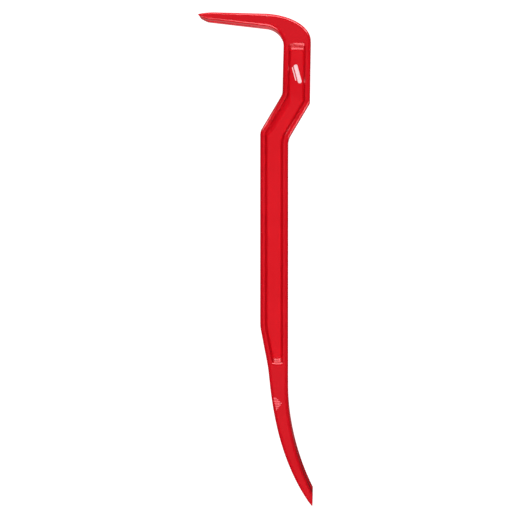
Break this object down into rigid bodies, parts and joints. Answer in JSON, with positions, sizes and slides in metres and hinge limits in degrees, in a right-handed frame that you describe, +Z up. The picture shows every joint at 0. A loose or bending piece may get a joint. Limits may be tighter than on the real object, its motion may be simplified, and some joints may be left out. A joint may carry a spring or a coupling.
{
  "type": "pry bar",
  "caption": "One-piece forged pry bar: a right-angle nail-pulling claw, an offset I-beam handle and a curved, slotted lower claw.",
  "frame": {"origin": "on the plane that the bar lies on, under the centre of its bounding box", "axes": "+Y along the handle towards the right-angle claw; -X the way that claw points; +Z up, square to the bar's side face"},
  "size_m": [0.0886, 0.381, 0.044],
  "materials": {
    "red_coating": "glossy bright red powder coat over forged steel, fine orange peel",
    "pale_print": null
  },
  "bodies": {
    "root": {"hook_claw": "red_coating", "head_bend": "red_coating", "neck": "red_coating", "offset_crank": "red_coating", "handle_beam": "red_coating", "handle_taper": "red_coating", "blade_shank": "red_coating", "pry_claw": "red_coating"}
  },
  "joints": []
}
